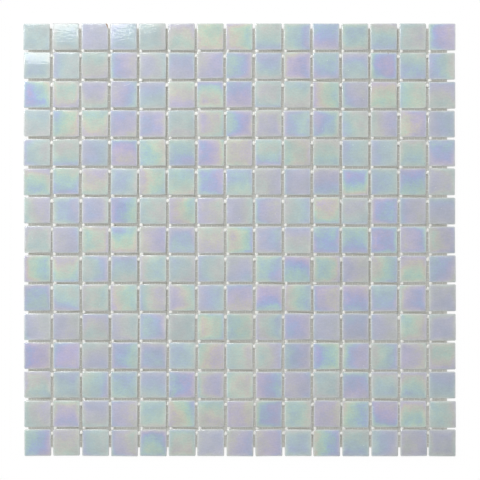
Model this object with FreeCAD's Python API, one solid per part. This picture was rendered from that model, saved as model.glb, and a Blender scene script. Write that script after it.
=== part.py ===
import FreeCAD, Part
import math
import os

from FreeCAD import Vector

# A sheet of square pressed glass mosaic tiles, lying face up on its backing mesh.
# +X runs along a row of tiles, +Y towards the first row, +Z out of the glass face.
# The origin is under the middle of the sheet, on the underside of the mesh. All sizes are in mm.

# the sheet
TILES_IN_A_ROW = 15
ROWS = 15
JOINT_WIDTH = 1.57           # between the flanks of two neighbouring tiles

# one tile
TILE_SIDE = 20.0             # across the flanks, where the tile is widest
TILE_THICKNESS = 4.0
ARRIS = 0.6                  # the worn-off edge all round the glass face, as wide as it is deep
FLANK_HEIGHT = 0.5           # straight band of the side, just below the arris
BACK_INSET = 1.1             # the pressed back is this much smaller on every side

# the backing mesh, a laid net of glass yarns: straight warp on slightly skewed weft
YARN_THICKNESS = 0.2
WARP_WIDTH = 0.5
WARP_PITCH = 4.2
WEFT_WIDTH = 0.6
WEFT_PITCH = 5.1             # measured along Y
WEFT_SKEW_DEG = -3.66        # the weft sinks towards +X by this angle
MESH_MARGIN_LEFT = 3.5       # from the outer flank of the tiles in to the cut edge of the mesh
MESH_MARGIN_RIGHT = 6.4
MESH_MARGIN_FIRST_ROW = 3.5
MESH_MARGIN_LAST_ROW = 6.3
WARPS_TO_HOLD_A_WEFT = 2     # a corner piece of weft no longer than this many warp pitches falls out

# the dots of glue, two at each crossing of the joints
ROW_JOINT_DOT_LENGTH = 2.2
ROW_JOINT_DOT_START = 1.1    # from the middle of the crossing, towards +X
COLUMN_JOINT_DOT_LENGTH = 2.5
DOT_CLEARANCE = 0.2          # between the feet of the two dots of one crossing

PITCH = TILE_SIDE + JOINT_WIDTH
SHEET_LENGTH = TILES_IN_A_ROW * PITCH - JOINT_WIDTH
SHEET_WIDTH = ROWS * PITCH - JOINT_WIDTH
TILE_BACK_Z = 2 * YARN_THICKNESS      # the tiles lie on two layers of yarn
BEVEL_HEIGHT = TILE_THICKNESS - ARRIS - FLANK_HEIGHT
DOT_FOOT_HALF = JOINT_WIDTH / 2 + BACK_INSET

X_AXIS = Vector(1, 0, 0)
Y_AXIS = Vector(0, 1, 0)


def prism(points, direction):
    """A closed outline of straight edges, extruded along a direction."""
    outline = Part.makePolygon(points + points[:1])
    return Part.Face(outline).extrude(direction)


def centred_prism(points, along, length):
    """An outline in a plane through the Z axis, extruded evenly to both sides of it."""
    solid = prism(points, along * length)
    solid.translate(along * (-length / 2))
    return solid


def tile_section_points(across):
    """A tile's section: a bevelled back, straight flanks and an arris on each side of the face."""
    half = TILE_SIDE / 2
    back_half = half - BACK_INSET
    face_half = half - ARRIS
    flank_top = Vector(0, 0, BEVEL_HEIGHT + FLANK_HEIGHT)
    bevel_top = Vector(0, 0, BEVEL_HEIGHT)
    face = Vector(0, 0, TILE_THICKNESS)
    return [across * -back_half,
            across * back_half,
            across * half + bevel_top,
            across * half + flank_top,
            across * face_half + face,
            across * -face_half + face,
            across * -half + flank_top,
            across * -half + bevel_top]


def tile():
    """One tile, its back centred on the origin: the same section seen from two sides, mitred."""
    along_y = centred_prism(tile_section_points(X_AXIS), Y_AXIS, TILE_SIDE)
    along_x = centred_prism(tile_section_points(Y_AXIS), X_AXIS, TILE_SIDE)
    return along_y.common(along_x).Solids[0]


def column_x(column):
    """The middle of a column of tiles; column 0 is at the left."""
    return (column - (TILES_IN_A_ROW - 1) / 2) * PITCH


def row_y(row):
    """The middle of a row of tiles; row 0 is the first, towards +Y."""
    return ((ROWS - 1) / 2 - row) * PITCH


def placed(shape, x, y, z):
    copy = shape.copy()
    copy.translate(Vector(x, y, z))
    return copy


def tile_row(one_tile, row):
    """One row of tiles, standing on the mesh with open joints between them."""
    return [placed(one_tile, column_x(column), row_y(row), TILE_BACK_Z)
            for column in range(TILES_IN_A_ROW)]


def dot_section_points(across):
    """A glue dot's section: it fills the wedge between two bevelled backs."""
    top_half = JOINT_WIDTH / 2
    return [across * -DOT_FOOT_HALF,
            across * DOT_FOOT_HALF,
            across * top_half + Vector(0, 0, BEVEL_HEIGHT),
            across * -top_half + Vector(0, 0, BEVEL_HEIGHT)]


def crossings():
    """The middle of every crossing of two joints, on the mesh."""
    for row in range(ROWS - 1):
        for column in range(TILES_IN_A_ROW - 1):
            yield column_x(column) + PITCH / 2, row_y(row) - PITCH / 2


def row_joint_dots():
    """The dots in the joints between rows, each just to the right of its crossing."""
    dot = prism(dot_section_points(Y_AXIS), X_AXIS * ROW_JOINT_DOT_LENGTH)
    return [placed(dot, x + ROW_JOINT_DOT_START, y, TILE_BACK_Z) for x, y in crossings()]


def column_joint_dots():
    """The dots in the joints between columns, each just below its crossing."""
    dot = prism(dot_section_points(X_AXIS), Y_AXIS * -COLUMN_JOINT_DOT_LENGTH)
    start = DOT_FOOT_HALF + DOT_CLEARANCE
    return [placed(dot, x, y - start, TILE_BACK_Z) for x, y in crossings()]


def mesh_outline():
    """The cut edges of the mesh: left, right, last-row side, first-row side."""
    left = -SHEET_LENGTH / 2 + MESH_MARGIN_LEFT
    right = SHEET_LENGTH / 2 - MESH_MARGIN_RIGHT
    last = -SHEET_WIDTH / 2 + MESH_MARGIN_LAST_ROW
    first = SHEET_WIDTH / 2 - MESH_MARGIN_FIRST_ROW
    return left, right, last, first


def warp_yarns():
    """Straight yarns along Y that lie on the weft, one of them on the middle line."""
    left, right, last, first = mesh_outline()
    first_index = math.ceil((left + WARP_WIDTH / 2) / WARP_PITCH)
    last_index = math.floor((right - WARP_WIDTH / 2) / WARP_PITCH)
    return [Part.makeBox(WARP_WIDTH, first - last, YARN_THICKNESS,
                         Vector(index * WARP_PITCH - WARP_WIDTH / 2, last, YARN_THICKNESS))
            for index in range(first_index, last_index + 1)]


def weft_yarns():
    """Skewed yarns at the bottom, cut off at the mesh's edges, one through the origin."""
    left, right, last, first = mesh_outline()
    sheet = Part.makeBox(right - left, first - last, YARN_THICKNESS, Vector(left, last, 0))
    reach = math.hypot(SHEET_LENGTH, SHEET_WIDTH)
    yarn = Part.makeBox(reach, WEFT_WIDTH, YARN_THICKNESS, Vector(-reach / 2, -WEFT_WIDTH / 2, 0))
    yarn.rotate(Vector(0, 0, 0), Vector(0, 0, 1), WEFT_SKEW_DEG)
    count = math.ceil(reach / 2 / WEFT_PITCH)
    yarns = []
    for index in range(-count, count + 1):
        cut = placed(yarn, 0, index * WEFT_PITCH, 0).common(sheet)
        if cut.Solids and cut.BoundBox.XLength > WARPS_TO_HOLD_A_WEFT * WARP_PITCH:
            yarns.append(cut.Solids[0])
    return yarns


def write(node, solids):
    Part.makeCompound(solids).exportStep("parts/" + node + ".step")
    volume = sum(solid.Volume for solid in solids)
    print(node, len(solids), "solids", round(volume / 1000, 2), "cm3")


os.makedirs("parts", exist_ok=True)
glass_tile = tile()
for row_number in range(ROWS):
    write("tile_row_%02d" % (row_number + 1), tile_row(glass_tile, row_number))
write("glue_dots_row_joints", row_joint_dots())
write("glue_dots_column_joints", column_joint_dots())
write("mesh_warp_yarns", warp_yarns())
write("mesh_weft_yarns", weft_yarns())
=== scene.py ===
import math
import random

import bmesh
import bpy
from mathutils import Matrix, Vector, noise

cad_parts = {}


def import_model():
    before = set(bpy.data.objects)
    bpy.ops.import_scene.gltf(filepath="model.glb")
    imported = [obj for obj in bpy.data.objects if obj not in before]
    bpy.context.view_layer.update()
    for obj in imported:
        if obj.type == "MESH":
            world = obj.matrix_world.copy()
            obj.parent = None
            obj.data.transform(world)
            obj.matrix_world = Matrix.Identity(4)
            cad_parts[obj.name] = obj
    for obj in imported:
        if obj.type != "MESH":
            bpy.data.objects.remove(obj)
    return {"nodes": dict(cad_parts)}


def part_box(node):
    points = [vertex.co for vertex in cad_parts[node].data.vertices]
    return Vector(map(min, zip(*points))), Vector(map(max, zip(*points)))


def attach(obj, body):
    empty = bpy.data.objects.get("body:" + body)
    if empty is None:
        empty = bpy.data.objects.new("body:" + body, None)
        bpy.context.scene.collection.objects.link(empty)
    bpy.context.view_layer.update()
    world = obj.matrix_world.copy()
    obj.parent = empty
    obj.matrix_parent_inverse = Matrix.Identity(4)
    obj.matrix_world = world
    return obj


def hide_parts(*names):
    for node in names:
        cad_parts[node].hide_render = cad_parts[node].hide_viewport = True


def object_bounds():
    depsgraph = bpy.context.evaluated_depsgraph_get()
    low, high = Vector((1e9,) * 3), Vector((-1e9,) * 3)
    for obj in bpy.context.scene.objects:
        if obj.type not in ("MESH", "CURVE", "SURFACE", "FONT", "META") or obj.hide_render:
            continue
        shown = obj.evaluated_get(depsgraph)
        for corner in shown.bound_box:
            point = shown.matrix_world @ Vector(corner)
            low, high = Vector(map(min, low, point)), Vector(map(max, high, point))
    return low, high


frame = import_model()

# A sheet of iridescent pressed glass tiles on its backing mesh, lying flat and seen from straight above.
# Lengths are in metres. A place within a tile, u along its row and v across it, goes from -1 to 1 between
# the flanks, and its height from 0 to 1. Scales are a noise's, so a larger one gives a finer pattern.

CAD_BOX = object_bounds()
MM = 0.001

# fixed, so that every run makes the same sheet
SEED = 1413
RANDOM = random.Random(SEED)
noise.seed_set(SEED)


def to_linear(channel):
    """A colour channel as a screen shows it, 0 to 255, turned into light."""
    c = channel / 255
    if c <= 0.04045:
        return c / 12.92
    return ((c + 0.055) / 1.055) ** 2.4


def colour(red, green, blue):
    return (to_linear(red), to_linear(green), to_linear(blue), 1.0)


# the sheet as the frame gives it
FIRST_ROW_LOW, FIRST_ROW_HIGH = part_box("tile_row_01")
SECOND_ROW_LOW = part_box("tile_row_02")[0]
WARP_LOW, WARP_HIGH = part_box("mesh_warp_yarns")
WEFT_LOW, WEFT_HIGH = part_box("mesh_weft_yarns")
TILE_SIDE = FIRST_ROW_HIGH.y - FIRST_ROW_LOW.y
TILE_THICKNESS = FIRST_ROW_HIGH.z - FIRST_ROW_LOW.z
TILE_BACK_Z = FIRST_ROW_LOW.z
PITCH = FIRST_ROW_LOW.y - SECOND_ROW_LOW.y
JOINT = PITCH - TILE_SIDE
COLUMNS = round((FIRST_ROW_HIGH.x - FIRST_ROW_LOW.x + JOINT) / PITCH)
ROWS = sum(name.startswith("tile_row_") for name in frame["nodes"])

# one tile
ARRIS = 0.6 * MM
ARRIS_STEPS = 2
CORNER_CUT = 0.6 * MM
FLAT_EDGE = 0.15 * MM        # a flat border that keeps the arris's turn off the middle of the face
BACK_INSET = 1.1 * MM        # how much smaller the pressed back is on every side
BEVEL_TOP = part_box("glue_dots_row_joints")[1].z - TILE_BACK_Z
SHARP_ANGLE = math.radians(50)

# how far hand-laid tiles stray, and how the whole sheet does
SHIFT = 0.17 * MM            # this and the next three are spreads
TURN = math.radians(0.35)
TILT = math.radians(0.3)
SIZE_SPREAD = 0.004
MOST_SPREADS = 2             # nothing strays further than this many times its spread
WOBBLE = 0.13 * MM
WOBBLE_SCALE = 300
RIM_START = 0.4              # in tile sides, from the middle out
SEED_SPAN = 100              # a tile or dot starts up to this far along the noise that makes it uneven
COLUMN_SKEW = 0.0022
ROW_SKEW = 0.00125
DRAWN_IN_ALONG_ROWS = 0.996
DRAWN_IN_ACROSS_ROWS = 0.9999

# tiles round the one corner where some catch the softbox, by row and column: how the face slopes
# towards +X and +Y, and where the hue of its even film starts
SLANTED_TILES = {
    (0, 0): (0.002, 0.016, 0.9),
    (0, 1): (0.001, -0.0075, 0.93),
    (0, 2): (0.002, 0.014, 0.45),
    (0, 3): (-0.010, -0.008, 0.04),
    (0, 4): (0.004, 0.002, 0.88),
    (1, 0): (0.001, -0.0131, 0.02),
}
EVEN_STEEPNESS = 0.5         # of an even film beside a common one
EVEN_STRENGTH = 0.42         # how much of an even film shows over the pearl

# a tile whose face has a fold: where it starts up the tile, and how the face slopes past it
FOLDED_TILES = {(1, 0): (0.1, -0.0148, 0)}
NO_FOLD = (0, 0, 0)

# corners that are chipped: how far along the top and down the side, and how stained the break is
CHIPPED_CORNERS = {(0, 2): (2.0 * MM, 4.8 * MM, 1), (0, 13): (0.8 * MM, 1.9 * MM, 0)}
CHIP_LEAN = 0.36
CHIP_TAN = colour(168, 132, 92)

# a brown speck, by its place in the tile
SPECKS = {(1, 12): (0.33, 0.95, 1)}
NO_SPECK = (9, 9, 9)         # outside every tile
SPECK_RADIUS = 0.06
SPECK_BROWN = colour(150, 148, 138)

# a pale thread in the glass, along an arc
WISPY_TILES = ((2, 3),)
WISP_START = 0.62
WISP_RISE = 0.25
WISP_BEND = 0.3
WISP_WIDTH = 0.035
WISP_MIDDLE = -0.15
WISP_HALF = 0.7
WISP_FADE = 0.1
WISP_BREAK_SCALE = 420
WISP_BREAK_RANGE = (0.42, 0.52)
WISP_SHARE = 0.6
WISP_WHITE = colour(235, 236, 232)

# the film of colour: its hue runs once round while the film thickens by one step
FILM_LEVELEST = 0.1
FILM_STEEPEST = 0.31
FILM_SKEW = 0.18             # most films run along or across a row; this is how far they turn off it
FILM_BOW = 0.18
FILM_EDGE = 0.26             # how far the hue may turn towards the flanks
FILM_EDGE_RANGE = (0.6, 0.95)
FILM_DRIFT = 0.2             # the hue also strays with three noises, from coarse to fine
FILM_DRIFT_SCALE = 62
FILM_BLOTCHES = 0.12
FILM_BLOTCH_SCALE = 200
FILM_BLOTCH_RANGE = (0.2, 0.8)
FILM_FLECKS = 0.34
FILM_FLECK_SCALE = 950
FILM_WEAKEST = 0.36
FILM_STRONGEST = 0.93
FILM_PATCH_RANGE = (0.35, 0.65)
FILM_PATCH_WEAKEST = 0.8
FILM_COLOURS = (
    (0.0, colour(201, 195, 179)),
    (0.09, colour(195, 203, 185)),
    (0.2, colour(180, 205, 186)),
    (0.31, colour(168, 199, 195)),
    (0.39, colour(164, 192, 200)),
    (0.48, colour(157, 178, 210)),
    (0.56, colour(164, 171, 211)),
    (0.68, colour(180, 172, 205)),
    (0.83, colour(192, 182, 201)),
    (0.93, colour(197, 189, 189)),
    (1.0, colour(201, 195, 179)),
)
PEARL = colour(176, 186, 197)    # of the glass where the film is weak

# the glass round and under the film
EDGE_CREAM = colour(213, 214, 206)
EDGE_CREAM_RANGE = (0.4, 0.9)
EDGE_CREAM_SHARE = 0.22
# the pale arris: partly the film wearing off, partly a painted highlight along the rounded edge
ARRIS_PALE_AND_HIGHLIGHT = colour(203, 208, 207)
ARRIS_PALE_AND_HIGHLIGHT_RANGE = (0.9, 0.95)
ARRIS_PALE_AND_HIGHLIGHT_SHARE = 0.7
ARRIS_RAGGED = 0.02
ARRIS_RAGGED_SCALE = 260
COATED_RANGE = (0.8, 0.87)   # the heights between which the film and the polish begin
BODY_CREAM = colour(228, 234, 224)
BODY_SAND = colour(206, 208, 186)
BODY_PATCH_SCALE = 260
BODY_PATCH_RANGE = (0.4, 0.7)
PINHOLE_WHITE = colour(245, 245, 240)
PINHOLE_SCALE = 260
PINHOLE_RARITY = 0.86        # the share of cells that have none
PINHOLE_RANGE = (0.085, 0.045)
PINHOLE_SHARE = 0.7
SHADE_SPREAD = 0.023         # how far tiles differ in lightness
CLOUDS = 0.045
CLOUD_SCALE = 130
GLASS_MOTTLE = 0.055
GLASS_GRAIN = 1100
GLASS_SCATTER = 2.0 * MM
POLISH_ROUGHNESS = 0.05
BODY_ROUGHNESS = 0.5
BODY_SHEEN = 0.2
GLASS_IOR = 1.55

# the relief of the glass, as bump: a polished face over a pillowed body with a grooved back
FACE_DOME = 0.05 * MM
PEEL_SCALE = 650
PEEL_STREAK = 0.7            # the peel is drawn out along the rows
PEEL_DEPTH = 0.036 * MM
PAINTED_PEEL_SHADE = 0.03            # painted shade: how much paler the film is painted where the peel leans towards the last row
PEEL_LEAN_REACH = 0.3 * MM
PEEL_FULL_LEAN = 0.15
WAVE_SCALE = 110
WAVE_DEPTH = 0.03 * MM
PILLOW_START = 0.3           # how far out the body begins to fall
PILLOW_DROP_ALONG_ROWS = 0.29 * MM
PILLOW_DROP_ACROSS_ROWS = 0.62 * MM
GROOVES = 5
GROOVE_DEPTH = 0.35 * MM
GROOVE_SOFTNESS = 0.4
GROOVED_HEIGHT = 0.02        # the grooves end this far up the tile

# the glue
GLUE_WHITE = colour(238, 239, 234)
GLUE_MOTTLE = 0.05
GLUE_GRAIN = 500
GLUE_ROUGHNESS = 0.45
GLUE_SCATTER = 1.2 * MM
GLUE_SKIN_SCALE = 900
GLUE_SKIN_DEPTH = 0.05 * MM
DOT_FOOT = 0.7               # how far a dot fills the wedge between two bevelled backs, out and up
DOT_RISE = 1.15 * MM         # the most that a dot rises over the bevels
DOT_LOWEST = 0.85            # as a share of that
DOT_SPREAD = 1.55            # how wide a dot's top is, in joint widths
DOT_FLARE = 0.4 * MM         # the height in which it gets so wide
DOT_SHORTEST = 0.95
DOT_LONGEST = 1.25
DOT_STRAY = 0.3 * MM
DOT_SLOPE = 0.15             # how much lower a dot is at its far end
DOT_WOBBLE = 0.2             # how uneven a dot is, as a share of its size
DOT_WOBBLE_SCALE = 1.8
ROW_DOT_NUDGE = Vector((0.1 * MM, 0.15 * MM, 0))
COLUMN_DOT_NUDGE = Vector((0.2 * MM, -0.3 * MM, 0))
ROW_DOT_TAPER = 0.0
COLUMN_DOT_TAPER = 0.5

# the mesh
YARN_THICKNESS = WEFT_HIGH.z - WEFT_LOW.z
WARP_PITCH = 4.2 * MM
WARP_WIDTH = 0.5 * MM
STRAND_WIDTH = 0.28 * MM
STRAND_THICKNESS = 0.14 * MM
STRAND_SIDES = 4
STRAND_STEPS = 2             # between one weft and the next
STRAND_SWING = 0.11 * MM
STRAND_LIFT = 0.03 * MM
WEFT_PITCH = 5.1 * MM
WEFT_WIDTH = 0.6 * MM
WEFT_SKEW = math.radians(-3.66)
WEFT_EDGE = 0.4              # how far its edges are worn off, as a share of its thickness
WARPS_TO_HOLD_A_WEFT = 2     # a corner piece of weft no longer than this many warp pitches falls out
YARN_WHITE = colour(252, 252, 248)
YARN_GREY = colour(240, 240, 232)
YARN_ROUGHNESS = 0.5
YARN_IOR = 1.45
YARN_CLEARNESS = 0.85
FIBRES_ALONG = 900
FIBRES_ACROSS = 9000
FIBRE_DEPTH = 0.03 * MM

# used by more than one material
NOISE_RANGE = (0.3, 0.7)     # most of a noise's values lie between these
EVEN_SCATTER = (1.0, 1.0, 1.0)    # red, green and blue light spread equally far inside
WHITE = (1.0, 1.0, 1.0, 1.0)

# the floor: painted shade under the mesh, dim paper with a fixed warm grey glow that stands in for the
# shade in the joints, and white round it, with some of the shadow
FLOOR_HALF = 3.0
FLOOR_WHITE = (0.95, 0.95, 0.95, 1.0)
# painted shade: the paper under the mesh is dim, and with the glow below it shows a fixed grey in the
# joints
UNDER_MESH_PAINTED_SHADE = (0.42, 0.42, 0.4, 1.0)
PAPER_GRAIN = 400
PAPER_MOTTLE = 0.02
MESH_MIDDLE = (WEFT_LOW + WEFT_HIGH) / 2
MESH_HALF = (WEFT_HIGH - WEFT_LOW) / 2
UNDER_MESH_PAINTED_GLOW = 0.355
GLOW_ROUND_MESH = 0.93
GLOW_FAR_OFF = 1.0
UNDER_MESH_PAINTED_GLOW_TINT = (1.0, 1.0, 0.955, 1.0)
SHADOW_REACH = 15 * MM

# the light: white all round, and a softbox, placed by the corner of it that is nearest the sheet
AMBIENT = 0.53
KEY_SHARE = 0.5
KEY_LENGTH = 1.2
KEY_WIDTH = 0.85
KEY_NEAR_CORNER = Vector((-0.12, 0.315, 1.2))
KEY_PLACE = KEY_NEAR_CORNER + Vector((-KEY_LENGTH / 2, KEY_WIDTH / 2, 0))

# the camera looks straight down from this height over the glass
CAMERA_HEIGHT = 1.32
CAMERA_SHIFT = Vector((0.27 * MM, -0.15 * MM, 0))
PHOTO_WIDTH = 0.35662        # what the photo is wide, on the sheet
SENSOR = 36.0


def made_mesh(bm, name):
    """Turns a bmesh into a mesh, and frees it."""
    mesh = bpy.data.meshes.new(name)
    bm.to_mesh(mesh)
    bm.free()
    return mesh


def new_object(name, data):
    """An object in the scene, at the origin."""
    made = bpy.data.objects.new(name, data)
    bpy.context.scene.collection.objects.link(made)
    return made


def finished(bm, name, material, slot, *nodes):
    """Turns a bmesh into a piece that rides on the sheet and stands for some CAD nodes."""
    for face in bm.faces:
        face.smooth = True
    mesh = made_mesh(bm, name)
    mesh.set_sharp_from_angle(angle=SHARP_ANGLE)
    mesh.materials.append(material)
    piece = new_object(name, mesh)
    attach(piece, "root")
    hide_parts(*nodes)


def added(bm, mesh):
    """Adds a copy of a mesh to a bmesh, and gives the vertices of the copy."""
    count = len(bm.verts)
    bm.from_mesh(mesh)
    bm.verts.ensure_lookup_table()
    return bm.verts[count:]


def all_of(bm):
    return bm.verts[:] + bm.edges[:] + bm.faces[:]


def limited(value, low=0.0, high=1.0):
    return max(low, min(high, value))


def stray(spread):
    """How far one hand-laid thing is off: mostly small, and never more than a few spreads."""
    most = MOST_SPREADS * spread
    return limited(RANDOM.gauss(0, spread), -most, most)


def laid(place):
    """Where a place of the CAD's exact grid is on the real sheet: a little drawn in and skewed."""
    drawn = Vector((place.x * DRAWN_IN_ALONG_ROWS, place.y * DRAWN_IN_ACROSS_ROWS, place.z))
    return drawn + Vector((-drawn.y * COLUMN_SKEW, -drawn.x * ROW_SKEW, 0))


def stretch(bm, verts, half, z):
    """Moves a ring of vertices, at equal height, to a square of this half-width at height z."""
    now = max(abs(v.co.x) for v in verts)
    bmesh.ops.scale(bm, vec=(half / now, half / now, 1), verts=verts)
    for v in verts:
        v.co.z = z


def tile_blank():
    """One pressed tile with its back centred on the origin: flat face, round arris, bevelled back."""
    face_half = TILE_SIDE / 2 - ARRIS
    bm = bmesh.new()
    bmesh.ops.create_grid(bm, x_segments=1, y_segments=1, size=face_half)
    for axis in (Vector((1, 0, 0)), Vector((0, 1, 0))):
        bmesh.ops.bisect_plane(bm, geom=all_of(bm), plane_co=(0, 0, 0), plane_no=axis)
    corners = [v for v in bm.verts if len(v.link_edges) == 2]
    bmesh.ops.bevel(bm, geom=corners, offset=CORNER_CUT, segments=1, profile=0.5,
                    affect="VERTICES", material=-1)
    bmesh.ops.inset_region(bm, faces=bm.faces[:], thickness=FLAT_EDGE, use_boundary=True,
                           use_even_offset=True)
    stretch(bm, bm.verts, face_half, TILE_THICKNESS)
    turns = [math.pi / 2 * step / ARRIS_STEPS for step in range(1, ARRIS_STEPS + 1)]
    rings = [(face_half + ARRIS * math.sin(turn), TILE_THICKNESS - ARRIS * (1 - math.cos(turn)))
             for turn in turns]
    rings += [(TILE_SIDE / 2, BEVEL_TOP), (TILE_SIDE / 2 - BACK_INSET, 0)]
    rim = [e for e in bm.edges if e.is_boundary]
    for half, z in rings:
        made = bmesh.ops.extrude_edge_only(bm, edges=rim)["geom"]
        stretch(bm, [v for v in made if isinstance(v, bmesh.types.BMVert)], half, z)
        rim = [e for e in made if isinstance(e, bmesh.types.BMEdge) and e.is_boundary]
    bmesh.ops.contextual_create(bm, geom=rim)
    bmesh.ops.recalc_face_normals(bm, faces=bm.faces)
    return made_mesh(bm, "tile_blank")


def chipped(blank, along_top, down_side, stain):
    """A tile blank with its corner towards +X and +Y broken off, and the break stained or not."""
    bm = bmesh.new()
    bm.from_mesh(blank)
    break_stain = bm.faces.layers.float.new("break_stain")
    start = Vector((TILE_SIDE / 2 - along_top, TILE_SIDE / 2, TILE_THICKNESS))
    outward = Vector((down_side, along_top, 0)).normalized() + Vector((0, 0, CHIP_LEAN))
    bmesh.ops.bisect_plane(bm, geom=all_of(bm), plane_co=start, plane_no=outward, clear_outer=True)
    hole = [e for e in bm.edges if e.is_boundary]
    for face in bmesh.ops.holes_fill(bm, edges=hole)["faces"]:
        face[break_stain] = stain
    bmesh.ops.recalc_face_normals(bm, faces=bm.faces)
    return made_mesh(bm, "chipped_blank")


def tile_film():
    """One tile's own film of colour: how its hue starts, bows, turns at the edge and slopes."""
    heading = RANDOM.randrange(4) * math.pi / 2 + RANDOM.gauss(0, FILM_SKEW)
    steepness = RANDOM.uniform(FILM_LEVELEST, FILM_STEEPEST)
    start = RANDOM.random()
    bow = RANDOM.uniform(-FILM_BOW, FILM_BOW) / steepness ** 2
    edge = RANDOM.uniform(-FILM_EDGE, FILM_EDGE)
    strength = RANDOM.uniform(FILM_WEAKEST, FILM_STRONGEST)
    slope = Vector((math.cos(heading) * steepness, math.sin(heading) * steepness, strength))
    return Vector((start, bow, edge)), slope


def tile_marks(spot):
    """What the glass of one tile takes into its material, by attribute name."""
    film, slope = tile_film()
    if spot in SLANTED_TILES:
        film.x = SLANTED_TILES[spot][2]
        slope *= EVEN_STEEPNESS
        slope.z = EVEN_STRENGTH
    fold = Vector(FOLDED_TILES.get(spot, NO_FOLD)) + Vector((0, 0, spot in WISPY_TILES))
    return {"film_start_bow_edge": film,
            "film_slope_strength": slope,
            "fold_start_slope_wisp": fold,
            "speck_place": SPECKS.get(spot, NO_SPECK)}


def wobble_rim(verts, seed):
    """Makes the pressed rim a little uneven."""
    for v in verts:
        rise = limited((v.co.z - BEVEL_TOP) / (TILE_THICKNESS - BEVEL_TOP))
        off = noise.noise_vector(v.co * WOBBLE_SCALE + Vector((seed, 0, 0)))
        if max(abs(v.co.x), abs(v.co.y)) > TILE_SIDE * RIM_START:
            v.co += Vector((off.x, off.y, 0)) * WOBBLE * rise


def slant_face(verts, slope):
    """Slants the face of a tile on its level back, with the highest corner at full thickness."""
    drop = (abs(slope[0]) + abs(slope[1])) * TILE_SIDE / 2
    for v in verts:
        v.co.z += v.co.z / TILE_THICKNESS * (slope[0] * v.co.x + slope[1] * v.co.y - drop)


def keep_inside(verts):
    """Slides a stray tile back inside the sheet's real outline."""
    push = Vector((0, 0, 0))
    for axis in (0, 1):
        low = min(v.co[axis] for v in verts)
        high = max(v.co[axis] for v in verts)
        push[axis] = max(0, CAD_BOX[0][axis] - low) - max(0, high - CAD_BOX[1][axis])
    for v in verts:
        v.co += push


def lay_tile(verts, middle):
    """Lays a tile a little off its place in the sheet."""
    size = 1 - abs(stray(SIZE_SPREAD))
    lie = Matrix.Rotation(stray(TURN), 4, "Z") @ Matrix.Diagonal((size, size, 1, 1))
    shift = laid(middle) + Vector((stray(SHIFT), stray(SHIFT), 0))
    for v in verts:
        v.co = lie @ v.co + shift
    keep_inside(verts)


def tile_row(row, blank, chipped_blanks, material):
    """One row of separate tiles, each with its own film, shape and lie."""
    name = "tile_row_%02d" % (row + 1)
    low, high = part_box(name)
    bm = bmesh.new()
    layers = {mark: bm.verts.layers.float_vector.new(mark)
              for mark in ("tile_place", "film_start_bow_edge", "film_slope_strength",
                           "fold_start_slope_wisp", "speck_place")}
    shade_layer = bm.verts.layers.float.new("tile_shade")
    bm.faces.layers.float.new("break_stain")
    for column in range(COLUMNS):
        spot = (row, column)
        verts = added(bm, chipped_blanks.get(spot, blank))
        marks = tile_marks(spot)
        shade = 1 + stray(SHADE_SPREAD)
        slope = (stray(TILT), stray(TILT))
        if spot in SLANTED_TILES:
            slope = SLANTED_TILES[spot][:2]
        for v in verts:
            marks["tile_place"] = (v.co.x * 2 / TILE_SIDE, v.co.y * 2 / TILE_SIDE, v.co.z / TILE_THICKNESS)
            for mark, value in marks.items():
                v[layers[mark]] = value
            v[shade_layer] = shade
        wobble_rim(verts, RANDOM.uniform(0, SEED_SPAN))
        slant_face(verts, slope)
        x = low.x + TILE_SIDE / 2 + column * PITCH
        lay_tile(verts, Vector((x, (low.y + high.y) / 2, TILE_BACK_Z)))
    finished(bm, "glass_tiles_row_%02d" % (row + 1), material, "tile_glass", name)


def dot_blank():
    """A rounded lump in a unit box on the floor, from which every glue dot is squeezed."""
    bm = bmesh.new()
    bmesh.ops.create_cube(bm, size=1.0)
    bmesh.ops.subdivide_edges(bm, edges=bm.edges[:], cuts=2, use_grid_fill=True)
    for _ in range(2):
        bmesh.ops.smooth_vert(bm, verts=bm.verts, factor=0.5, use_axis_x=True, use_axis_y=True,
                              use_axis_z=True)
    half = max(v.co.x for v in bm.verts)
    bmesh.ops.scale(bm, vec=(0.5 / half,) * 3, verts=bm.verts)
    bmesh.ops.translate(bm, vec=(0, 0, 0.5), verts=bm.verts)
    return made_mesh(bm, "dot_blank")


def squeeze_dot(verts, place, dot_size, along, away, taper):
    """Squeezes one lump into its joint: the foot fills the wedge, and the top laps over the arrises."""
    across = 1 - along
    length = dot_size[along] * RANDOM.uniform(DOT_SHORTEST, DOT_LONGEST)
    height = dot_size.z + DOT_RISE * RANDOM.uniform(DOT_LOWEST, 1.0)
    off_centre = RANDOM.uniform(-DOT_STRAY, DOT_STRAY)
    seed = Vector((RANDOM.uniform(0, SEED_SPAN), 0, 0))
    for v in verts:
        off = noise.noise_vector(v.co * DOT_WOBBLE_SCALE + seed) * DOT_WOBBLE
        v.co += Vector((off.x, off.y, 0))
        far = v.co.x * away
        rise = (1 - (1 - v.co.z) ** 2) * height * (1 - DOT_SLOPE * max(0, far * 2) ** 2)
        rise = min(rise, TILE_THICKNESS)
        width = JOINT + (dot_size[across] - JOINT) * max(0, DOT_FOOT - rise / dot_size.z)
        width += JOINT * (DOT_SPREAD - 1) * limited((rise - BEVEL_TOP) / DOT_FLARE)
        spot = Vector((0, 0, rise))
        spot[along] = v.co.x * length + off_centre
        spot[across] = v.co.y * width * (1 + taper * far)
        v.co = place + spot


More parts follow.
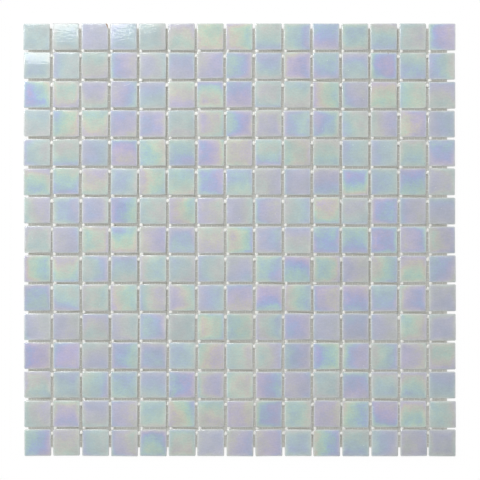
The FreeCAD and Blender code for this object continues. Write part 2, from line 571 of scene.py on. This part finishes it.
def glue_dots(node_name, piece_name, blank, along, away, nudge, taper, material):
    """The dots of one direction of joint, each squeezed to its own size.

    along is 0 for X and 1 for Y, away is the way along it that leads off from the crossing, and
    taper is how much wider a dot is at its far end than at the near one."""
    low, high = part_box(node_name)
    dot_size = high - low - Vector(((COLUMNS - 2) * PITCH, (ROWS - 2) * PITCH, 0))
    bm = bmesh.new()
    for row in range(ROWS - 1):
        for column in range(COLUMNS - 1):
            verts = added(bm, blank)
            middle = low + dot_size / 2 + Vector((column * PITCH, row * PITCH, -dot_size.z / 2))
            squeeze_dot(verts, laid(middle) + nudge, dot_size, along, away, taper)
            bmesh.ops.recalc_face_normals(bm, faces=list({f for v in verts for f in v.link_faces}))
    finished(bm, piece_name, material, "glue", node_name)


def strand_blank(length):
    """One wavy strand along Y of a twisted warp pair, starting on the +X side of its pair."""
    bm = bmesh.new()
    bmesh.ops.create_circle(bm, cap_ends=True, segments=STRAND_SIDES, radius=0.5)
    bmesh.ops.scale(bm, vec=(STRAND_WIDTH, STRAND_THICKNESS, 1), verts=bm.verts)
    bmesh.ops.rotate(bm, matrix=Matrix.Rotation(math.pi / 2, 3, "X"), verts=bm.verts)
    steps = round(length / WEFT_PITCH * STRAND_STEPS)
    step = length / steps
    end = bm.faces[:]
    for _ in range(steps):
        made = bmesh.ops.extrude_face_region(bm, geom=end)["geom"]
        bmesh.ops.delete(bm, geom=end, context="FACES_ONLY")
        end = [f for f in made if isinstance(f, bmesh.types.BMFace)]
        verts = [v for v in made if isinstance(v, bmesh.types.BMVert)]
        bmesh.ops.translate(bm, vec=(0, step, 0), verts=verts)
    bmesh.ops.recalc_face_normals(bm, faces=bm.faces)
    for v in bm.verts:
        turn = math.pi * v.co.y / WEFT_PITCH
        v.co.x += STRAND_SWING * math.cos(turn)
        v.co.z += STRAND_LIFT * math.sin(turn)
    return made_mesh(bm, "strand_blank")


def warp_yarns(material):
    """Twisted pairs of strands along Y, where the frame has its straight warp."""
    blank = strand_blank(WARP_HIGH.y - WARP_LOW.y)
    pairs = round((WARP_HIGH.x - WARP_LOW.x - WARP_WIDTH) / WARP_PITCH) + 1
    middle_z = (WARP_LOW.z + WARP_HIGH.z) / 2
    bm = bmesh.new()
    for index in range(pairs):
        x = WARP_LOW.x + WARP_WIDTH / 2 + index * WARP_PITCH
        for side in (1, -1):
            for v in added(bm, blank):
                v.co = Vector((x + side * v.co.x, WARP_LOW.y + v.co.y, middle_z + side * v.co.z))
    bmesh.ops.recalc_face_normals(bm, faces=bm.faces)
    finished(bm, "twisted_warp", material, "mesh_yarn", "mesh_warp_yarns")


def weft_roving(length, y):
    """One flat skewed roving, cut off where the frame's mesh ends; nothing may be left of it."""
    bm = bmesh.new()
    bmesh.ops.create_cube(bm, size=1.0)
    bmesh.ops.scale(bm, vec=(length, WEFT_WIDTH, YARN_THICKNESS), verts=bm.verts)
    long_edges = [e for e in bm.edges if e.calc_length() > length / 2]
    bmesh.ops.bevel(bm, geom=long_edges, offset=YARN_THICKNESS * WEFT_EDGE, segments=1, profile=0.5,
                    affect="EDGES", material=-1)
    bmesh.ops.rotate(bm, matrix=Matrix.Rotation(WEFT_SKEW, 3, "Z"), verts=bm.verts)
    bmesh.ops.translate(bm, vec=(0, y, YARN_THICKNESS / 2), verts=bm.verts)
    for corner, outward in ((WEFT_LOW, (-1, 0, 0)), (WEFT_HIGH, (1, 0, 0)),
                            (WEFT_LOW, (0, -1, 0)), (WEFT_HIGH, (0, 1, 0))):
        bmesh.ops.bisect_plane(bm, geom=all_of(bm), plane_co=corner, plane_no=outward, clear_outer=True)
        bmesh.ops.holes_fill(bm, edges=[e for e in bm.edges if e.is_boundary])
    return made_mesh(bm, "weft_roving")


def span_x(mesh):
    """How long a mesh is along X, and 0 if it has nothing in it."""
    places = [v.co.x for v in mesh.vertices] or [0]
    return max(places) - min(places)


def weft_yarns(material):
    """Flat rovings along X, wherever enough of the warp holds them."""
    reach = (WEFT_HIGH - WEFT_LOW).length
    count = math.ceil(reach / 2 / WEFT_PITCH)
    bm = bmesh.new()
    for index in range(-count, count + 1):
        roving = weft_roving(reach, index * WEFT_PITCH)
        if span_x(roving) > WARPS_TO_HOLD_A_WEFT * WARP_PITCH:
            bm.from_mesh(roving)
        bpy.data.meshes.remove(roving)
    bmesh.ops.recalc_face_normals(bm, faces=bm.faces)
    finished(bm, "weft_rovings", material, "mesh_yarn", "mesh_weft_yarns")


class Nodes:
    """Short ways to add and join the nodes of one material, world or node group."""

    def __init__(self, tree):
        self.tree = tree
        tree.nodes.clear()

    def add(self, kind, inputs=None, **settings):
        made = self.tree.nodes.new(kind)
        for name, value in settings.items():
            setattr(made, name, value)
        for key, value in (inputs or {}).items():
            self.feed(made.inputs[key], value)
        return made

    def feed(self, socket, value):
        if isinstance(value, bpy.types.NodeSocket):
            self.tree.links.new(value, socket)
        else:
            socket.default_value = value

    def math(self, operation, *values, clamp=False):
        inputs = dict(enumerate(values))
        return self.add("ShaderNodeMath", inputs, operation=operation, use_clamp=clamp).outputs[0]

    def total(self, *values):
        result = values[0]
        for value in values[1:]:
            result = self.math("ADD", result, value)
        return result

    def times(self, a, b):
        return self.math("MULTIPLY", a, b)

    def square(self, value):
        return self.math("MULTIPLY", value, value)

    def size(self, value):
        """A value without its sign."""
        return self.math("ABSOLUTE", value)

    def between(self, value, low, high, to_low=0.0, to_high=1.0):
        """A value turned from one range into another, and held inside it."""
        inputs = {"Value": value, "From Min": low, "From Max": high, "To Min": to_low, "To Max": to_high}
        return self.add("ShaderNodeMapRange", inputs).outputs[0]

    def vector(self, operation, a, b, output="Vector"):
        return self.add("ShaderNodeVectorMath", {0: a, 1: b}, operation=operation).outputs[output]

    def split(self, vector):
        return self.add("ShaderNodeSeparateXYZ", {0: vector}).outputs

    def mix(self, factor, a, b, blend="MIX"):
        made = self.add("ShaderNodeMix", data_type="RGBA", blend_type=blend)
        self.feed(made.inputs[0], factor)
        self.feed(made.inputs[6], a)
        self.feed(made.inputs[7], b)
        return made.outputs[2]

    def object_place(self):
        return self.add("ShaderNodeTexCoord").outputs["Object"]

    def attribute(self, name, output="Vector"):
        return self.add("ShaderNodeAttribute", attribute_name=name).outputs[output]

    def noise(self, place, scale, detail):
        inputs = {"Vector": place, "Scale": scale, "Detail": detail}
        return self.add("ShaderNodeTexNoise", inputs).outputs[0]

    def bump(self, height, distance, normal=None):
        made = self.add("ShaderNodeBump", {"Height": height, "Distance": distance})
        if normal is not None:
            self.feed(made.inputs["Normal"], normal)
        return made.outputs["Normal"]

    def group(self, tree, **inputs):
        return self.add("ShaderNodeGroup", inputs, node_tree=tree).outputs

    def looked_at(self):
        """1 for rays that show a surface: from the camera, mirrored or passed on by glass."""
        seen = self.add("ShaderNodeLightPath").outputs
        mirrored = self.math("ADD", seen["Is Camera Ray"], seen["Is Glossy Ray"], clamp=True)
        return self.math("ADD", mirrored, seen["Is Transmission Ray"], clamp=True)


def new_material(name):
    material = bpy.data.materials.new(name)
    material.use_nodes = True
    return material, Nodes(material.node_tree)


def give_surface(n, shader):
    n.add("ShaderNodeOutputMaterial", {"Surface": shader})


def new_group(name, inputs, outputs):
    """An empty node group with named sockets: the tree, its node helper and its input sockets."""
    tree = bpy.data.node_groups.new(name, "ShaderNodeTree")
    for in_out, sockets in (("INPUT", inputs), ("OUTPUT", outputs)):
        for socket, kind in sockets.items():
            tree.interface.new_socket(socket, in_out=in_out, socket_type="NodeSocket" + kind)
    n = Nodes(tree)
    return tree, n, n.add("NodeGroupInput").outputs


def mottle_group():
    """Fine light and dark specks over a colour."""
    tree, n, given = new_group("mottle", {"Color": "Color", "Grain": "Float", "Amount": "Float"},
                               {"Color": "Color"})
    specks = n.noise(n.object_place(), given["Grain"], 3.0)
    darkest = n.math("SUBTRACT", 1.0, given["Amount"])
    lightest = n.math("ADD", 1.0, given["Amount"])
    shade = n.between(specks, *NOISE_RANGE, darkest, lightest)
    n.add("NodeGroupOutput", {"Color": n.mix(1.0, given["Color"], shade, "MULTIPLY")})
    return tree


def fibre_group():
    """Fibres of a yarn, drawn out along one direction by a small scale there."""
    tree, n, given = new_group("yarn_fibres", {"Scale": "Vector"}, {"Color": "Color", "Height": "Float"})
    fibres = n.noise(n.vector("MULTIPLY", n.object_place(), given["Scale"]), 1.0, 3.0)
    shade = n.mix(n.between(fibres, *NOISE_RANGE), YARN_WHITE, YARN_GREY)
    n.add("NodeGroupOutput", {"Color": shade, "Height": fibres})
    return tree


def film_colour(n, place, u, v, border):
    """The pastel colour of the fired-on film: hue runs with the film's thickness over each tile."""
    own_film = n.attribute("film_start_bow_edge")
    start, bow, edge = n.split(own_film)
    slope_u, slope_v, strength = n.split(n.attribute("film_slope_strength"))
    own_place = n.vector("ADD", place, own_film)
    drift = n.noise(own_place, FILM_DRIFT_SCALE, 1.0)
    blotches = n.noise(own_place, FILM_BLOTCH_SCALE, 0.0)
    flecks = n.noise(own_place, FILM_FLECK_SCALE, 1.0)
    run = n.total(n.times(u, slope_u), n.times(v, slope_v))
    phase = n.total(start,
                    run,
                    n.times(n.square(run), bow),
                    n.times(n.between(border, *FILM_EDGE_RANGE), edge),
                    n.between(drift, 0, 1, 0, FILM_DRIFT),
                    n.between(blotches, *FILM_BLOTCH_RANGE, 0, FILM_BLOTCHES),
                    n.between(flecks, 0, 1, 0, FILM_FLECKS))
    ramp = n.add("ShaderNodeValToRGB", {0: n.math("FRACT", phase)})
    stops = ramp.color_ramp.elements
    while len(stops) < len(FILM_COLOURS):
        stops.new(0.5)
    for stop, (position, shade) in zip(stops, FILM_COLOURS):
        stop.position = position
        stop.color = shade
    patches = n.between(n.noise(place, CLOUD_SCALE, 0.0), *FILM_PATCH_RANGE, FILM_PATCH_WEAKEST, 1)
    return n.mix(n.times(strength, patches), PEARL, ramp.outputs["Color"])


def edged(n, film, place, border):
    """The film with a breath of cream towards the flanks, and the pale arris, partly where the film wears
    off and partly a painted highlight along the rounded edge.
    """
    near_edge = n.square(n.between(border, *EDGE_CREAM_RANGE))
    film = n.mix(n.times(near_edge, EDGE_CREAM_SHARE), film, EDGE_CREAM)
    unevenness = n.noise(place, ARRIS_RAGGED_SCALE, 1.0)
    ragged = n.between(unevenness, *NOISE_RANGE, -ARRIS_RAGGED, ARRIS_RAGGED)
    # the pale band along the arris, in part a painted highlight
    arris = n.between(n.math("ADD", border, ragged), *ARRIS_PALE_AND_HIGHLIGHT_RANGE, 0, ARRIS_PALE_AND_HIGHLIGHT_SHARE)
    return n.mix(arris, film, ARRIS_PALE_AND_HIGHLIGHT)


def pinholes(n, place):
    """Where the glass has one of its fine scattered pinholes."""
    cells = n.add("ShaderNodeTexVoronoi", {"Vector": place, "Scale": PINHOLE_SCALE})
    chosen = n.math("GREATER_THAN", n.split(cells.outputs["Color"])[0], PINHOLE_RARITY)
    return n.times(n.between(cells.outputs["Distance"], *PINHOLE_RANGE), chosen)


def wisp_line(n, place, u, v, wispy):
    """A thin pale thread along an arc in the glass, broken here and there, where a tile has one."""
    arc = n.total(n.times(u, WISP_RISE), n.times(n.square(u), WISP_BEND), WISP_START)
    line = n.between(n.size(n.math("SUBTRACT", v, arc)), WISP_WIDTH, 0)
    whole = n.between(n.noise(place, WISP_BREAK_SCALE, 1.0), *WISP_BREAK_RANGE)
    ends = n.between(n.size(n.math("SUBTRACT", u, WISP_MIDDLE)), WISP_HALF, WISP_HALF - WISP_FADE)
    return n.times(n.times(line, whole), n.times(ends, wispy))


def peel(n, place):
    """The height of the orange peel, from 0 to 1."""
    return n.noise(n.vector("MULTIPLY", place, (PEEL_STREAK, 1, 1)), PEEL_SCALE, 0.0)


def painted_peel_shade(n, place):
    """Painted shade: paler where the peel leans one way, and darker where it leans the other, as light on
    its slopes would make it.
    """
    ahead = n.vector("ADD", place, (0, PEEL_LEAN_REACH, 0))
    lean = n.math("SUBTRACT", peel(n, place), peel(n, ahead))
    return n.between(lean, -PEEL_FULL_LEAN, PEEL_FULL_LEAN, 1 + PAINTED_PEEL_SHADE, 1 - PAINTED_PEEL_SHADE)


def pillow_fall(n, across, drop):
    """How far a pillowed body has fallen at a place across it, from -1 to 1."""
    out = n.between(n.size(across), PILLOW_START, 1.0)
    return n.times(n.square(out), -drop)


def body_relief(n, u, v, height):
    """The pillowed body under the polished face, and the grooves pressed into its back."""
    ribs = n.math("SINE", n.times(v, math.pi * GROOVES))
    depth = n.between(ribs, -GROOVE_SOFTNESS, GROOVE_SOFTNESS, -GROOVE_DEPTH, 0)
    grooves = n.times(depth, n.between(height, GROOVED_HEIGHT, 0))
    pillow = n.math("ADD", pillow_fall(n, u, PILLOW_DROP_ALONG_ROWS),
                    pillow_fall(n, v, PILLOW_DROP_ACROSS_ROWS))
    return n.bump(n.math("ADD", pillow, grooves), 1.0)


def face_relief(n, place, u, v, fold_start, fold_slope):
    """The slight dome, fold, waves and orange peel of the polished face."""
    dome = n.times(n.math("ADD", n.square(u), n.square(v)), -FACE_DOME)
    past_fold = n.math("MAXIMUM", n.math("SUBTRACT", v, fold_start), 0.0)
    fold = n.times(n.times(past_fold, fold_slope), TILE_SIDE / 2)
    shape = n.bump(n.math("ADD", dome, fold), 1.0)
    waves = n.bump(n.noise(place, WAVE_SCALE, 1.0), WAVE_DEPTH, shape)
    return n.bump(peel(n, place), PEEL_DEPTH, waves)


def glass_material(mottle):
    """Pressed glass: a cream body, and a pearly film under a polished coat on the face."""
    material, n = new_material("iridescent_glass")
    place = n.object_place()
    tile_place = n.attribute("tile_place")
    u, v, height = n.split(tile_place)
    fold_start, fold_slope, wispy = n.split(n.attribute("fold_start_slope_wisp"))
    border = n.math("MAXIMUM", n.size(u), n.size(v))
    film = edged(n, film_colour(n, place, u, v, border), place, border)
    # each tile's own lightness, which differs at random, times the painted shade of the peel
    shade = n.times(n.attribute("tile_shade", "Fac"), painted_peel_shade(n, place))
    film = n.mix(1.0, film, shade, "MULTIPLY")
    sandy = n.between(n.noise(place, BODY_PATCH_SCALE, 3.0), *BODY_PATCH_RANGE)
    coated = n.between(height, *COATED_RANGE)
    base = n.mix(coated, n.mix(sandy, BODY_CREAM, BODY_SAND), film)
    base = n.mix(n.times(pinholes(n, place), PINHOLE_SHARE), base, PINHOLE_WHITE)
    base = n.mix(n.times(wisp_line(n, place, u, v, wispy), WISP_SHARE), base, WISP_WHITE)
    off_speck = n.vector("DISTANCE", tile_place, n.attribute("speck_place"), "Value")
    base = n.mix(n.between(off_speck, SPECK_RADIUS, SPECK_RADIUS / 2), base, SPECK_BROWN)
    base = n.mix(n.attribute("break_stain", "Fac"), base, CHIP_TAN)
    base = n.group(mottle, Color=base, Grain=CLOUD_SCALE, Amount=CLOUDS)["Color"]
    base = n.group(mottle, Color=base, Grain=GLASS_GRAIN, Amount=GLASS_MOTTLE)["Color"]
    shader = n.add("ShaderNodeBsdfPrincipled", {
        "Base Color": base,
        "Roughness": BODY_ROUGHNESS,
        "IOR": GLASS_IOR,
        "Specular IOR Level": BODY_SHEEN,
        "Subsurface Weight": 1.0,
        "Subsurface Radius": EVEN_SCATTER,
        "Subsurface Scale": GLASS_SCATTER,
        "Normal": body_relief(n, u, v, height),
        "Coat Weight": coated,
        "Coat Roughness": POLISH_ROUGHNESS,
        "Coat IOR": GLASS_IOR,
        "Coat Normal": face_relief(n, place, u, v, fold_start, fold_slope),
    })
    give_surface(n, shader.outputs[0])
    return material


def glue_material(mottle):
    """Creamy white glue, set with a soft skin."""
    material, n = new_material("set_glue")
    skin = n.noise(n.object_place(), GLUE_SKIN_SCALE, 2.0)
    shader = n.add("ShaderNodeBsdfPrincipled", {
        "Base Color": n.group(mottle, Color=GLUE_WHITE, Grain=GLUE_GRAIN, Amount=GLUE_MOTTLE)["Color"],
        "Roughness": GLUE_ROUGHNESS,
        "Subsurface Weight": 1.0,
        "Subsurface Radius": EVEN_SCATTER,
        "Subsurface Scale": GLUE_SCATTER,
        "Normal": n.bump(skin, GLUE_SKIN_DEPTH),
    })
    give_surface(n, shader.outputs[0])
    return material


def yarn_material(name, fibres, scale):
    """Translucent white yarn of glass fibres."""
    material, n = new_material(name)
    fibre = n.group(fibres, Scale=scale)
    shader = n.add("ShaderNodeBsdfPrincipled", {
        "Base Color": fibre["Color"],
        "Roughness": YARN_ROUGHNESS,
        "IOR": YARN_IOR,
        "Transmission Weight": YARN_CLEARNESS,
        "Normal": n.bump(fibre["Height"], FIBRE_DEPTH),
    })
    give_surface(n, shader.outputs[0])
    return material


def floor_material(mottle):
    """White paper, shown as plain white round the mesh, where it still keeps some of the shadow; under the
    mesh it is painted shade, dim paper with a fixed warm grey glow for the joints.
    """
    material, n = new_material("white_floor")
    x, y, _ = n.split(n.object_place())
    off_x, off_y = (n.math("SUBTRACT", n.size(n.math("SUBTRACT", here, middle)), half)
                    for here, middle, half in zip((x, y), MESH_MIDDLE, MESH_HALF))
    past_mesh = n.math("MAXIMUM", off_x, off_y)
    outside = n.math("GREATER_THAN", past_mesh, 0.0)
    # painted light under the mesh: a fixed grey glow that, with the dim paper, stands in for the shade in
    # the joints
    painted_glow_under_mesh = n.times(n.math("SUBTRACT", 1.0, outside), UNDER_MESH_PAINTED_GLOW)
    glow_outside = n.between(past_mesh, 0, SHADOW_REACH, GLOW_ROUND_MESH, GLOW_FAR_OFF)
    glow = n.math("ADD", painted_glow_under_mesh, n.times(outside, glow_outside))
    tone = n.mix(outside, UNDER_MESH_PAINTED_SHADE, FLOOR_WHITE)
    tone = n.group(mottle, Color=tone, Grain=PAPER_GRAIN, Amount=PAPER_MOTTLE)["Color"]
    matt = {"Base Color": tone, "Roughness": 1.0, "Specular IOR Level": 0.0}
    paper = n.add("ShaderNodeBsdfPrincipled", matt).outputs[0]
    glow_tone = n.mix(outside, UNDER_MESH_PAINTED_GLOW_TINT, WHITE)
    white = n.add("ShaderNodeEmission", {"Color": glow_tone, "Strength": 1.0}).outputs[0]
    shader = n.add("ShaderNodeMixShader", {0: n.times(n.looked_at(), glow), 1: paper, 2: white})
    give_surface(n, shader.outputs[0])
    return material


def floor(material):
    bm = bmesh.new()
    bmesh.ops.create_grid(bm, x_segments=1, y_segments=1, size=FLOOR_HALF)
    mesh = made_mesh(bm, "floor")
    mesh.materials.append(material)
    new_object("floor", mesh)


def world():
    """Even white surroundings: dimmer as light than as seen."""
    made = bpy.data.worlds.new("studio")
    made.use_nodes = True
    n = Nodes(made.node_tree)
    strength = n.between(n.looked_at(), 0, 1, AMBIENT, 1.0)
    background = n.add("ShaderNodeBackground", {"Color": WHITE, "Strength": strength})
    n.add("ShaderNodeOutputWorld", {"Surface": background.outputs[0]})
    bpy.context.scene.world = made


def softbox(name, place, length, width, share):
    """A light hung level, as bright on the middle of the sheet as a share of full white.

    A level light spreads power * z ** 2 / (pi * distance ** 4) on it, and full white is pi."""
    data = bpy.data.lights.new(name, "AREA")
    data.shape = "RECTANGLE"
    data.size = length
    data.size_y = width
    data.energy = share * math.pi ** 2 * place.length ** 4 / place.z ** 2
    new_object(name, data).location = place


def camera():
    data = bpy.data.cameras.new("camera")
    data.sensor_width = SENSOR
    data.lens = SENSOR * CAMERA_HEIGHT / PHOTO_WIDTH
    made = new_object("camera", data)
    made.location = CAMERA_SHIFT + Vector((0, 0, CAD_BOX[1].z + CAMERA_HEIGHT))
    bpy.context.scene.camera = made


mottle_effect = mottle_group()
fibre_effect = fibre_group()

# the tiles
glass = glass_material(mottle_effect)
blank_tile = tile_blank()
chipped_tiles = {spot: chipped(blank_tile, *chip) for spot, chip in CHIPPED_CORNERS.items()}
for row_number in range(ROWS):
    tile_row(row_number, blank_tile, chipped_tiles, glass)

# the dots of glue
glue = glue_material(mottle_effect)
blank_dot = dot_blank()
glue_dots("glue_dots_row_joints", "row_joint_glue", blank_dot, 0, 1, ROW_DOT_NUDGE, ROW_DOT_TAPER, glue)
glue_dots("glue_dots_column_joints", "column_joint_glue", blank_dot, 1, -1, COLUMN_DOT_NUDGE,
          COLUMN_DOT_TAPER, glue)

# the mesh
warp_yarns(yarn_material("warp_yarn", fibre_effect, (FIBRES_ACROSS, FIBRES_ALONG, FIBRES_ACROSS)))
weft_yarns(yarn_material("weft_yarn", fibre_effect, (FIBRES_ALONG, FIBRES_ACROSS, FIBRES_ACROSS)))

# the floor, the light and the camera
floor(floor_material(mottle_effect))
world()
softbox("key", KEY_PLACE, KEY_LENGTH, KEY_WIDTH, KEY_SHARE)
camera()
bpy.context.scene.view_settings.view_transform = "Standard"
